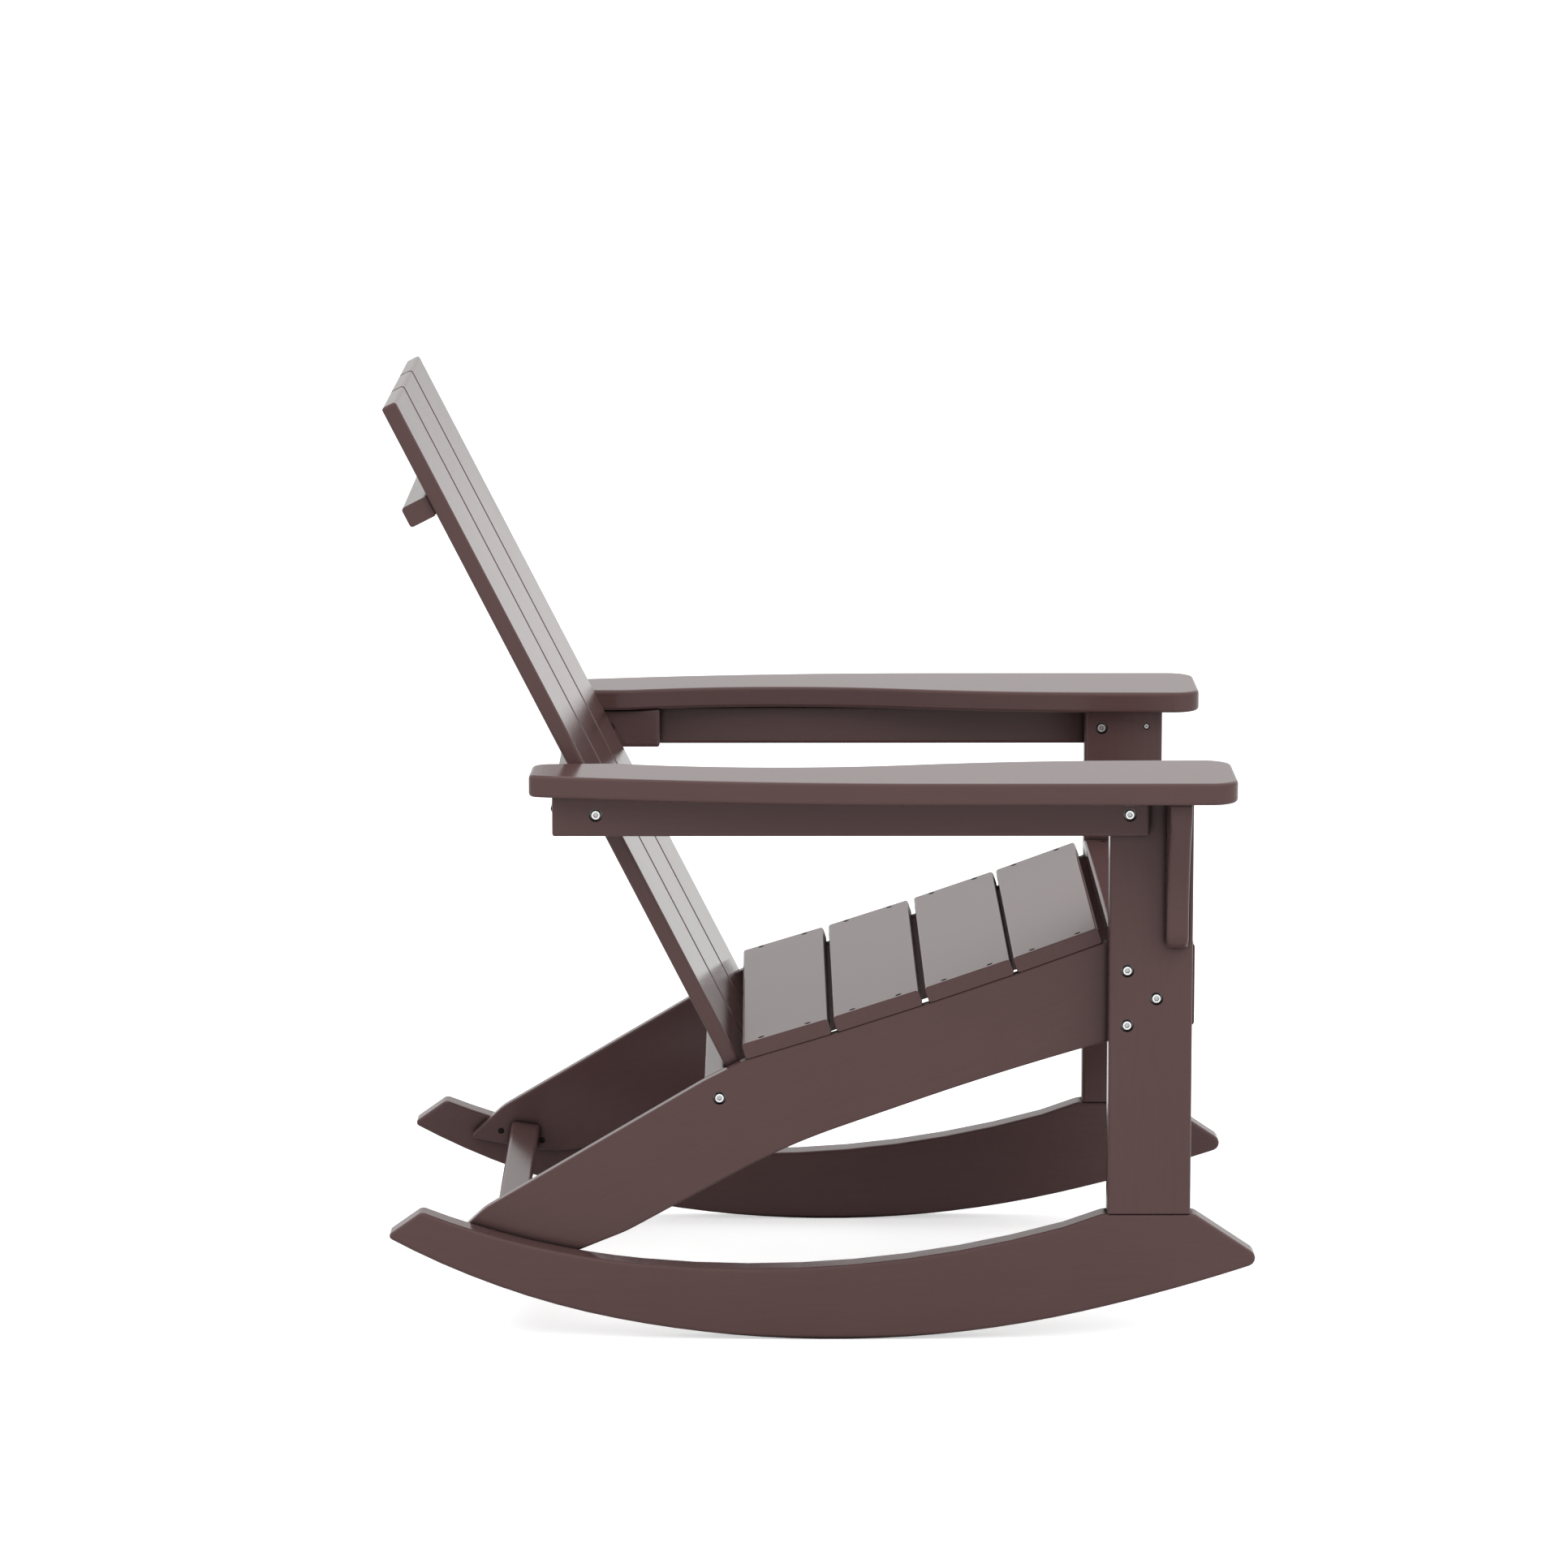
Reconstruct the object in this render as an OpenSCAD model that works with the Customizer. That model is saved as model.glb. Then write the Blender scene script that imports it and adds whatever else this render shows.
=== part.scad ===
// Rocking garden chair of flat boards, built up from two rocker frames.
// Millimetres. X runs to the sitter's left, Y to the back, Z up from the floor.
// The origin lies on the floor, under the middle of the whole chair.

/* [Frame] */
// Distance between the outer faces of the two rockers
frame_w = 576; // [500:1:700]
// Thickness of the rockers, front legs and rear arm blocks
side_t = 32; // [26:1:40]
// Thickness of the seat stringers
stringer_t = 16; // [14:1:24]
// Radius of the rounded board edges
edge_r = 3.5; // [1:0.5:5]

/* [Rockers] */
// Distance from the origin forward to the lowest point of the floor curve
low_y = 12.5; // [0:0.5:40]
// Radius of the floor curve under the seat
floor_r = 1126; // [900:1:1500]
// Radius of the floor curve towards the nose
floor_front_r = 1847; // [1200:1:2400]
// Radius of the floor curve towards the tail
floor_rear_r = 810; // [600:1:1100]
// Angle of the middle floor curve ahead of the lowest point
floor_front_deg = 12.9; // [8:0.1:15]
// Angle of the middle floor curve behind the lowest point
floor_rear_deg = 11.2; // [8:0.1:15]
// Depth of the rocker where its top edge is lowest
rocker_h = 73; // [60:1:90]
// Distance of that lowest place of the top edge behind the origin
dip_y = 69; // [40:1:100]
// Radius of the rocker's top edge under the seat
dip_r = 1166; // [1000:1:1400]
// Radius of the rocker's top edge towards the tail
dip_rear_r = 820; // [700:1:1000]
// Length of the rocker from the lowest point of the floor curve to the tail
tail_l = 452.5; // [400:0.5:480]
// Length of the slope that ends the tail
tail_cut = 36; // [24:1:50]
// Length of the nose ahead of the front leg
nose_l = 77; // [50:1:100]
// Rounding of the nose, measured along its edges
nose_r = 17.5; // [8:0.5:22]
// Rounding of the tail, measured along its edges
tail_r = 6.5; // [4:0.5:10]

/* [Front legs] */
// Height of the flat on the rocker that the leg stands on
foot_z = 130; // [120:1:145]
// Length of the front leg
leg_l = 433; // [380:1:500]
// Width of the front leg, seen from the side
leg_w = 84; // [70:1:110]
// Flat of the rocker that shows ahead of and behind the leg
foot_margin = 4; // [2:0.5:8]
// Length of the ramp from the rocker's curve up to the flat
ramp_l = 40; // [30:1:60]
// Distance of the leg's rear face ahead of the fourth seat slat's place
leg_gap = 0.5; // [0.5:0.1:5]

/* [Seat] */
// Height of the seat's rear edge, under the first slat
seat_z = 282.5; // [260:0.5:310]
// Distance of the seat's rear edge behind the origin
seat_y = 76; // [60:1:90]
// Width of the four rear slats
slat_w = 91; // [80:1:95]
// Width of the front slat
front_slat_w = 84; // [78:1:92]
// Thickness of the slats
slat_t = 16.5; // [14:0.5:22]
// Gap between the two rear slats
slat_gap = 5.6; // [3:0.1:10]
// Distance between a slat's end and the leg's inner face
slat_clear = 0.5; // [0.5:0.5:12]
// Slope of the first slat
seat_deg = 16.9; // [14:0.1:20]
// Slope that each further slat adds
seat_step_deg = 1.05; // [0:0.05:1.5]
// Slope of the front slat
front_slat_deg = -1.5; // [-4:0.1:0]
// Length of the stringer ahead of the fourth slat's place
stringer_nose = 72.5; // [66:0.5:80]
// Radius of the stringer's rounded edges
stringer_edge_r = 2; // [1:0.5:3]
// Height of the stringer's lowest edge above the floor curve
stringer_lift = 39.5; // [34:0.5:46]
// Distance of the stringer's tail ahead of the rocker's tail
stringer_tail_gap = 62; // [50:1:80]

/* [Apron] */
// Thickness of the apron
apron_t = 16; // [14:1:22]
// Height of the apron
apron_h = 83.5; // [60:0.5:90]

/* [Back] */
// Angle of the back from upright
back_deg = 27.1; // [20:0.1:30]
// Thickness of the back boards
back_t = 16; // [14:1:22]
// Length of the back boards
back_l = 804; // [700:1:860]
// Distance that the back boards reach down below the seat's rear edge
back_drop = 52; // [40:1:60]
// Gap between two back boards
back_gap = 6; // [4:0.5:10]
// Distance between the outer back board and the stringer
back_clear = 3; // [1.5:0.5:6]
// Distance from the back's front face to the first slat
back_slat_gap = 7.7; // [6:0.1:12]

/* [Cross members] */
// Depth of the lower beam, behind the back boards
lower_beam_t = 25; // [22:1:36]
// Height of the lower beam
lower_beam_h = 56; // [40:1:60]
// Depth of the beam at the arms
arm_beam_t = 34; // [26:1:36]
// Height of the beam at the arms
arm_beam_h = 30; // [24:1:32]
// Depth of the top batten
batten_t = 29.5; // [24:0.5:36]
// Height of the top batten
batten_h = 22; // [18:1:30]
// Distance of the batten's top edge below the boards' top
batten_drop = 98.5; // [70:0.5:130]
// Distance of the batten's end from the outer board's edge
batten_inset = 6; // [2:0.5:15]
// Width of the rear stretcher, seen from above
stretcher_w = 31; // [24:1:40]
// Height of the rear stretcher
stretcher_h = 28; // [22:1:29]
// Slope of the rear stretcher
stretcher_deg = -7.8; // [-12:0.1:0]

/* [Arms] */
// Thickness of the arm board
arm_t = 22; // [18:1:28]
// Width of the arm board at the front
arm_w = 152.5; // [130:0.5:170]
// Overhang of the arm inside the leg
arm_inside = 29; // [15:0.5:35]
// Overhang of the arm ahead of the leg
arm_nose = 39; // [20:0.5:50]
// Overhang of the arm behind the rail
arm_tail = 23; // [10:0.5:30]
// Rounding of the arm's front corners
arm_corner = 28; // [16:1:50]
// Rounding of the arm's rear corner on the inside
arm_tail_corner = 17; // [8:1:24]
// Rounding of the arm's rear corner on the outside
arm_tail_outer = 9; // [5:1:16]
// Height of the rail under the arm
rail_h = 42.4; // [36:0.1:50]
// Thickness of the rail
rail_t = 22; // [18:1:28]
// Length of the rail that overlaps the leg
rail_lap = 38.7; // [30:0.1:50]
// Distance that the rail reaches behind the arm beam's middle
rail_tail = 17.7; // [16:0.1:24]
// Length of the rear arm block
block_l = 99; // [80:1:120]
// Distance that the block stays above the rail's lower edge
block_lift = 1; // [0:0.5:4]

/* [Arm brackets] */
// Thickness of the bracket
bracket_t = 22; // [18:1:28]
// Height of the bracket
bracket_h = 158; // [120:1:180]
// Width of the bracket under the arm
bracket_w = 70; // [55:1:85]
// Width of the bracket at its lower end
bracket_foot = 25; // [22:1:35]
// Distance of the bracket behind the leg's front face
bracket_back = 6; // [4:1:12]
// Rounding of the bracket's corners
bracket_corner = 5; // [4:0.5:8]

/* [Fasteners] */
// Diameter of the bolt shanks
bolt_d = 6; // [5:1:8]
// Diameter of the bolt heads
bolt_head_d = 10; // [9:0.5:10.5]
// Height of the bolt heads
bolt_head_h = 5; // [4:0.5:6]
// Width of the flange round the foot of a bolt head
flange_w = 1.1; // [0.6:0.1:1.3]
// Height of that flange
flange_h = 1.2; // [0.8:0.1:2]
// Chamfer round the top of a bolt head
head_edge = 0.8; // [0.4:0.1:1.2]
// Diameter of the counterbores for the bolt heads
bolt_hole_d = 13; // [12.5:0.5:15]
// Depth of the counterbores for the bolt heads
bolt_hole_h = 6; // [5:0.5:7]
// Outer diameter of the sleeve nuts
sleeve_d = 8.5; // [8.5:0.5:9.5]
// Height of the sleeve nuts' heads
sleeve_head_h = 4; // [3:0.5:5]
// Outer diameter of the threaded inserts in the stringers
insert_d = 9; // [8:0.5:10]
// Length of the threaded inserts
insert_l = 12; // [8:1:13]
// Width across the flats of the hex sockets
socket_w = 5; // [4:0.5:6]
// Depth of the hex sockets
socket_h = 2; // [1:0.5:2.5]
// Length of the bolts that hold the lower beam
beam_bolt_l = 55; // [40:1:70]
// Diameter of the bolts under the legs
foot_bolt_d = 8; // [6:1:10]
// Length of the bolts under the legs
foot_bolt_l = 100; // [80:1:120]
// Diameter of the heads of the bolts under the legs
foot_head_d = 12; // [11:0.5:14]
// Distance of the heads of those bolts below the leg
foot_grip = 42; // [30:1:50]
// Diameter of the screws
screw_d = 4; // [3:0.5:5]
// Diameter of the screw heads
screw_head_d = 6; // [5.5:0.1:6.2]
// Height of the screw heads
screw_head_h = 2.5; // [2:0.5:3]
// Diameter of the holes over the screw heads
screw_hole_d = 6.5; // [6.4:0.1:8]
// Length of the seat screws
seat_screw_l = 28; // [24:1:28]
// Depth of their heads' seats in the slats
seat_screw_sink = 6.5; // [4:0.5:8]
// Distance of the seat screws from a slat's long edges
screw_edge = 21; // [12:1:30]
// Length of the short screws
screw_l = 32; // [28:1:32]
// Length of the long screws
long_screw_l = 48; // [44:1:50]
// Depth of a screw head's seat in the face of a board
screw_sink = 4; // [3:0.5:5]

/* [Hidden] */

// Colours of the boards, the bright bolts and the dark screws
board_colour = "#5c4a47";
steel_colour = "#c8c9cc";
screw_colour = "#2e2a2a";

// Fewest and most steps of a rounded corner, and the length of one of them between the two
corner_steps = 4;
corner_steps_most = 10;
corner_step_l = 4;
// Steps of a board edge and of a long curve, and sides of what is turned
edge_steps = 3;
curve_steps = 8;
round_fn = 32;
// Overrun of every cut
over = 1;
// Clearance round a shank or a sleeve nut in its hole, and round a bolt head under the leg
sleeve_clear = 0.2;
foot_clear = 0.5;
// Rounding of a board's sawn end
end_r = 1;
// Length of a screw's tip
tip_l = 4;

// Lateral distances from the chair's middle plane
out_x = frame_w / 2;
leg_x = out_x - side_t;
string_x = leg_x - stringer_t;
back_x = string_x - back_clear;
slat_x = leg_x - slat_clear;
side_x = (out_x + leg_x) / 2;
rail_x = out_x + rail_t / 2;

// Floor curve: the centres of its three arcs, as [forward, up]
floor_mid = [low_y, floor_r];
floor_front = floor_mid + (floor_r - floor_front_r) * [sin(floor_front_deg), -cos(floor_front_deg)];
floor_rear = floor_mid + (floor_r - floor_rear_r) * [-sin(floor_rear_deg), -cos(floor_rear_deg)];
tail_y = low_y - tail_l;

// Seat line: points are [forward, up], one for the rear edge of each slat. The gaps ahead
// of the slats are shares of the first one.
slat_gap_shares = [1, 1.16, 0.6, 0.8];
function slat_pitch(k) = slat_w + slat_gap * slat_gap_shares[k];
function along(deg) = [cos(deg), sin(deg)];
function slat_deg(k) = k < 4 ? seat_deg + k * seat_step_deg : front_slat_deg;
function slat_at(k) = k == 0 ? [-seat_y, seat_z] : slat_at(k - 1) + slat_pitch(k - 1) * along(slat_deg(k - 1));
front_at = slat_at(4);
apron_at = front_at + stringer_nose / cos(front_slat_deg) * along(front_slat_deg);
apron_z = front_at.y + (apron_at.x + apron_t - front_at.x) * tan(front_slat_deg);

// Back: u runs out of the front face, v up the back from the floor
back_v = (seat_z - back_slat_gap * sin(back_deg)) / cos(back_deg);
back_foot = slat_at(0) - back_slat_gap * along(back_deg) - back_v * along(back_deg + 90);
back_low = back_v - back_drop;
back_top = back_low + back_l;
board_w = (2 * back_x - 2 * back_gap) / 3;
board_xs = [back_x - board_w / 2, 0, board_w / 2 - back_x];
function on_back(u, v) = back_foot + u * along(back_deg) + v * along(back_deg + 90);

// Front leg
leg_y = front_at.x + leg_gap;
arm_z = foot_z + leg_l;

// Arm beam: its middle lies behind the boards, at a share of the rail's height from the top
beam_u = -back_t - arm_beam_t / 2;
beam_drop_share = 0.64;
beam_z = arm_z - rail_h * beam_drop_share;
beam_v = (beam_z - beam_u * sin(back_deg)) / cos(back_deg);
beam_at = on_back(beam_u, beam_v);
rail_y = beam_at.x - rail_tail;
rail_l = leg_y + rail_lap - rail_y;

// Arm
arm_y = rail_y - arm_tail;
arm_l = leg_y + leg_w + arm_nose - arm_y;
arm_x = leg_x - arm_inside;

// Rounded outlines. A corner is [forward, up, run]; run is where its rounding starts.
function unit(v) = v / norm(v);
function flat(p) = [p.x, p.y];
function rounding(a, b, c, run) =
    let (u = unit(a - b), v = unit(c - b), half = acos(u * v) / 2, r = run * tan(half))
    let (m = b + unit(u + v) * r / sin(half), s = b + u * run - m, e = b + v * run - m)
    let (from = atan2(s.y, s.x), turn = atan2(s.x * e.y - s.y * e.x, s * e))
    let (arc_l = r * abs(turn) * PI / 180)
    let (steps = min(corner_steps_most, max(corner_steps, ceil(arc_l / corner_step_l))))
    [for (i = [0:steps]) m + r * along(from + turn * i / steps)];
function rounded(pts) = [
    for (i = [0:len(pts) - 1])
        let (n = len(pts), b = flat(pts[i]))
        let (a = flat(pts[(i + n - 1) % n]), c = flat(pts[(i + 1) % n]))
        each (pts[i][2] == 0 ? [b] : rounding(a, b, c, pts[i][2]))
];
function rect(w, h, r) = rounded([[0, 0, r], [w, 0, r], [w, h, r], [0, h, r]]);

// The outline moved inwards by d
function inset(pts, d) = [
    for (i = [0:len(pts) - 1])
        let (n = len(pts), p = pts[i], a = unit(p - pts[(i + n - 1) % n]), b = unit(pts[(i + 1) % n] - p))
        p + d * [-a.y - b.y, a.x + b.x] / (1 + a * b)
];

// A curve below its centre, from one angle to another
function bowl(c, r, t0, t1, n) = [
    for (i = [0:n])
        let (t = t0 + (t1 - t0) * i / n)
        c + r * [sin(t), -cos(t)]
];
function sharp(pts) = [for (p = pts) [p.x, p.y, 0]];

// Triangles between the lower side of an outline and its upper side, from the rear to the
// front. i counts along the lower side and j back along the upper one.
function strip(pts, i, j) =
    i + 1 == j ? [] :
    let (low = cross(pts[i + 1] - pts[i], pts[j] - pts[i]) > 0)
    let (high = cross(pts[j - 1] - pts[i], pts[j] - pts[i]) > 0)
    !low || (high && pts[j - 1].x < pts[i + 1].x) ?
        concat([[i, j - 1, j]], strip(pts, i, j - 1)) :
        concat([[i, i + 1, j]], strip(pts, i + 1, j));

// A board cut to an outline that starts at its rear end, with every edge rounded
module plate(pts, t, r) {
    n = len(pts);
    low = [for (k = [0:edge_steps]) let (q = 90 * k / edge_steps) [r * (1 - sin(q)), r * (1 - cos(q))]];
    rings = concat(low, [for (k = [edge_steps:-1:0]) [low[k].x, t - low[k].y]]);
    points = [for (ring = rings) each [for (p = inset(pts, ring.x)) [p.x, p.y, ring.y]]];
    walls = [
        for (k = [0:len(rings) - 2], i = [0:n - 1])
            let (j = (i + 1) % n)
            [k * n + i, (k + 1) * n + i, (k + 1) * n + j, k * n + j]
    ];
    top = (len(rings) - 1) * n;
    cap = strip(inset(pts, r), 0, n - 1);
    lid = [for (face = cap) [top + face[2], top + face[1], top + face[0]]];
    polyhedron(points, concat(cap, lid, walls));
}

// A straight board. r gives the rounding of its edges along x, y and z.
module board(size, r) {
    intersection() {
        linear_extrude(size.z)
            polygon(rect(size.x, size.y, r.z));
        translate([0, size.y, 0])
            rotate([90, 0, 0])
                linear_extrude(size.y)
                    polygon(rect(size.x, size.z, r.y));
        rotate([90, 0, 90])
            linear_extrude(size.x)
                polygon(rect(size.y, size.z, r.x));
    }
}

// Side view: x forward, y up, z out to the sitter's right
module side() {
    rotate([90, 0, -90])
        children();
}

module side_at(p, deg) {
    side()
        translate([p.x, p.y, 0])
            rotate(deg)
                children();
}

// Back view: x out of the back's front face, y up the back, z to the sitter's right
module back() {
    side_at(back_foot, back_deg)
        children();
}

module left() {
    mirror([1, 0, 0])
        children();
}

module both() {
    children();
    left()
        children();
}

// Fasteners. z points out of the head, and z = 0 is where the head seats.
module head(d, h) {
    difference() {
        rotate_extrude($fn = round_fn)
            polygon([
                [0, 0],
                [d / 2 + flange_w, 0],
                [d / 2 + flange_w, flange_h],
                [d / 2, flange_h],
                [d / 2, h - head_edge],
                [d / 2 - head_edge, h],
                [0, h]
            ]);
        translate([0, 0, h - socket_h])
            cylinder(h = socket_h + over, d = socket_w / cos(30), $fn = 6);
    }
}

module bolt(d, head_d, l) {
    head(head_d, bolt_head_h);
    translate([0, 0, -l])
        cylinder(h = l, d = d, $fn = round_fn);
}

module sleeve_nut(l) {
    head(bolt_head_d, sleeve_head_h);
    translate([0, 0, -l])
        difference() {
            cylinder(h = l, d = sleeve_d, $fn = round_fn);
            translate([0, 0, -over])
                cylinder(h = l + over, d = bolt_d, $fn = round_fn);
        }
}

module screw(l) {
    cylinder(h = screw_head_h, d = screw_head_d, $fn = round_fn);
    translate([0, 0, tip_l - l])
        cylinder(h = l - tip_l, d = screw_d, $fn = round_fn);
    translate([0, 0, -l])
        cylinder(h = tip_l, d1 = 0, d2 = screw_d, $fn = round_fn);
}

module hole(d, l, head_d, head_h) {
    translate([0, 0, -l])
        cylinder(h = l + over, d = d, $fn = round_fn);
    cylinder(h = head_h, d = head_d, $fn = round_fn);
}

module screw_hole(l = screw_l) {
    hole(screw_d, l, screw_hole_d, screw_l);
}

// Places of the bolts, as [forward, up]. Their shares are of the leg's width and the apron's
// height, of the rail's height from its top, and of the leg's width and the block's length.
leg_bolt_shares = [[0.22, 0.29], [0.57, 0.63], [0.22, 0.96]];
leg_bolts = [for (s = leg_bolt_shares) [leg_y + leg_w * s.x, front_at.y - apron_h * s.y]];
rail_bolt_drop_share = 0.49;
rail_bolt_shares = [0.22, 0.44];
rail_bolt_z = arm_z - rail_h * rail_bolt_drop_share;
rail_bolts = [
    [leg_y + leg_w * rail_bolt_shares[0], rail_bolt_z],
    [rail_y + block_l * rail_bolt_shares[1], rail_bolt_z]
];

module at_leg_bolts() {
    for (b = leg_bolts)
        side()
            translate([b.x, b.y, out_x])
                children();
}

module at_rail_bolts() {
    for (b = rail_bolts)
        side()
            translate([b.x, b.y, out_x + rail_t])
                children();
}

// A rail's bolt and its sleeve nut, in from the two sides of the rail and what is inside it
rail_stack = side_t + rail_t;
sleeve_share = 0.45;

module rail_bolt() {
    translate([0, 0, -bolt_hole_h])
        bolt(bolt_d, bolt_head_d, rail_stack - bolt_hole_h * 2 - over);
}

module rail_nut() {
    translate([0, 0, bolt_hole_h - rail_stack])
        mirror([0, 0, 1])
            sleeve_nut(rail_stack * sleeve_share);
}

module rail_bolt_hole() {
    translate([0, 0, -rail_stack - over])
        cylinder(h = rail_stack + 2 * over, d = sleeve_d + 2 * sleeve_clear, $fn = round_fn);
    translate([0, 0, -bolt_hole_h])
        cylinder(h = bolt_hole_h + over, d = bolt_hole_d, $fn = round_fn);
    translate([0, 0, -rail_stack - over])
        cylinder(h = bolt_hole_h + over, d = bolt_hole_d, $fn = round_fn);
}

// A leg's bolt, and the threaded insert that it meets in the stringer's outer face
module leg_bolt() {
    translate([0, 0, -bolt_hole_h])
        bolt(bolt_d, bolt_head_d, side_t - bolt_hole_h + insert_l - over);
}

module leg_insert() {
    translate([0, 0, -side_t - insert_l])
        difference() {
            cylinder(h = insert_l, d = insert_d, $fn = round_fn);
            translate([0, 0, -over])
                cylinder(h = insert_l + 2 * over, d = bolt_d, $fn = round_fn);
        }
}

module leg_bolt_hole() {
    translate([0, 0, -side_t - over])
        cylinder(h = side_t + 2 * over, d = bolt_d + 2 * sleeve_clear, $fn = round_fn);
    translate([0, 0, -bolt_hole_h])
        cylinder(h = bolt_hole_h + over, d = bolt_hole_d, $fn = round_fn);
}

module leg_insert_hole() {
    translate([0, 0, -side_t - insert_l])
        cylinder(h = insert_l + over, d = insert_d, $fn = round_fn);
}

// Lower beam bolts, from the stringer's outer face into the beam's end. The shares are of
// the beam's depth and of its height from the top.
beam_bolt_shares = [0.73, 0.41];

module at_beam_bolt() {
    back()
        translate([
            -back_t - lower_beam_t * beam_bolt_shares.x,
            back_v - lower_beam_h * beam_bolt_shares.y,
            leg_x - bolt_hole_h
        ])
            children();
}

module beam_bolt_hole() {
    hole(bolt_d, beam_bolt_l, bolt_hole_d, side_t);
}

// Bolts from below through the rocker into the leg, at shares of the leg's width
foot_bolt_shares = [0.22, 0.78];

module at_foot_bolts() {
    for (s = foot_bolt_shares)
        translate([-side_x, -leg_y - leg_w * s, foot_z - foot_grip])
            rotate([180, 0, 0])
                children();
}

module foot_bolt_hole() {
    hole(foot_bolt_d, foot_bolt_l, foot_head_d + 2 * flange_w + 2 * foot_clear, foot_z);
}

// Seat screws: two at each end of a slat, down into the stringer at a share of its thickness
seat_screw_share = 0.42;
seat_screw_x = string_x + stringer_t * seat_screw_share;

module at_seat_screws(k, x) {
    w = k < 4 ? slat_w : front_slat_w;
    for (e = [screw_edge, w - screw_edge])
        side_at(slat_at(k), slat_deg(k))
            translate([e, slat_t - seat_screw_sink, x])
                rotate([-90, 0, 0])
                    children();
}

// Back screws: two in each board at each cross member, in from the rear. The shares are of
// the lower beam's height, of the board's width and of the screw's length in the board.
lower_screw_share = 0.7;
cross_vs = [
    back_v - lower_beam_h * lower_screw_share,
    beam_v,
    back_top - batten_drop - batten_h / 2
];
back_screw_shares = [-0.36, 0.36];
back_grip_share = 0.38;

module at_back_screws(v, x) {
    for (s = back_screw_shares)
        back()
            translate([screw_l * (back_grip_share - 1) - back_t, v, x + board_w * s])
                rotate([0, -90, 0])
                    children();
}

// Arm screws: up through the rail and the block, from below. The shares are of the rail's
// length, of the block's length and of the screw's length under the arm.
arm_screw_shares = [0.18, 0.52, 0.82];
block_screw_share = 0.78;
arm_grip_share = 0.62;
arm_screw_z = arm_z - screw_l * arm_grip_share;

module at_arm_screws() {
    for (s = arm_screw_shares)
        translate([-rail_x, -rail_y - rail_l * s, arm_screw_z])
            rotate([180, 0, 0])
                children();
    translate([-side_x, -rail_y - block_l * block_screw_share, arm_screw_z])
        rotate([180, 0, 0])
            children();
}

// Stringer: its lower and upper corners are shares of its length and height, from the
// tail's lowest edge, and its roundings are shares of its length
stringer_y = tail_y + stringer_tail_gap;
stringer_l = apron_at.x - stringer_y;
stringer_low_shares = [
    [0, 0.0465], [0.099, 0], [0.16, 0], [0.2448, 0.0788], [0.4615, 0.3519], [0.7404, 0.5774], [1, 0.7537]
];
stringer_low_run_shares = [0.008, 0.028, 0.028, 0.011, 0.08, 0.108, 0.003];
stringer_kink_share = [0.0488, 0.151];
stringer_kink_run_share = 0.01;
stringer_flat_y = stringer_y + stringer_l * (stringer_low_shares[1].x + stringer_low_shares[2].x) / 2;
floor_z = floor_rear.y - sqrt(pow(floor_rear_r, 2) - pow(stringer_flat_y - floor_rear.x, 2));
stringer_z = floor_z + stringer_lift;
stringer_h = apron_at.y - stringer_z;

// Rear stretcher: its top rear corner lies ahead of and above the tail's lowest corner, by
// shares of its own size
stretcher_shares = [1.5, 1.2];
stretcher_at = [
    stringer_y + stretcher_w * stretcher_shares.x,
    stringer_z + stretcher_h * stretcher_shares.y
];

// Screws from inside through the stringer's tail into the rocker, and all the screws near
// them, lie at shares of the stretcher's size from that corner
rocker_screw_shares = [[-0.33, 0.46], [1.12, 0.62]];

module at_rocker_screws() {
    for (s = rocker_screw_shares)
        side_at(stretcher_at, stretcher_deg)
            translate([stretcher_w * s.x, -stretcher_h * s.y, string_x + screw_sink])
                mirror([0, 0, 1])
                    children();
}

// Screws through the stringer's outer face into the stretcher's end
stretcher_screw_shares = [0.25, 0.75];

module at_stretcher_screws() {
    for (s = stretcher_screw_shares)
        side_at(stretcher_at, stretcher_deg)
            translate([stretcher_w * s, -stretcher_h / 2, leg_x - screw_sink])
                children();
}

// Screws through the apron into the stringer's front end, at shares of the apron's height
apron_screw_shares = [0.32, 0.8];

module at_apron_screws() {
    for (s = apron_screw_shares)
        side()
            translate([apron_at.x + apron_t - screw_sink, apron_z - apron_h * s, seat_screw_x])
                rotate([0, 90, 0])
                    children();
}

// Long screws through the block into the arm beam's end, at shares of the beam's depth
beam_end_shares = [-0.25, 0.25];

module at_beam_end_screws() {
    for (s = beam_end_shares)
        side_at(beam_at, back_deg)
            translate([arm_beam_t * s, 0, out_x - screw_sink])
                children();
}

// Long screws from inside through the leg into the bracket, at shares of its height
bracket_y = leg_y + leg_w - bracket_back - bracket_t;
bracket_screw_shares = [0.12, 0.8];

module at_bracket_screws() {
    for (s = bracket_screw_shares)
        side()
            translate([bracket_y + bracket_t / 2, arm_z - bracket_h * s, leg_x + screw_sink])
                mirror([0, 0, 1])
                    children();
}

// Rocker outline, counted from the tail along the floor to the nose and back on top
tail_deg = asin((tail_y - floor_rear.x) / floor_rear_r);
nose_y = leg_y + leg_w + nose_l;
nose_deg = asin((nose_y - floor_front.x) / floor_front_r);
nose_z = floor_front.y - floor_front_r * cos(nose_deg);
// The two arcs of the top edge meet at this angle behind the lowest place
dip_turn_deg = 5.5;
dip_mid = [-dip_y, rocker_h + dip_r];
dip_rear = dip_mid + (dip_r - dip_rear_r) * [-sin(dip_turn_deg), -cos(dip_turn_deg)];
ramp_y = leg_y - foot_margin - ramp_l;
ramp_deg = asin((ramp_y + dip_y) / dip_r);
kink_deg = asin((tail_y + tail_cut - dip_rear.x) / dip_rear_r);
nose_top_y = leg_y + leg_w + foot_margin;

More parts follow.
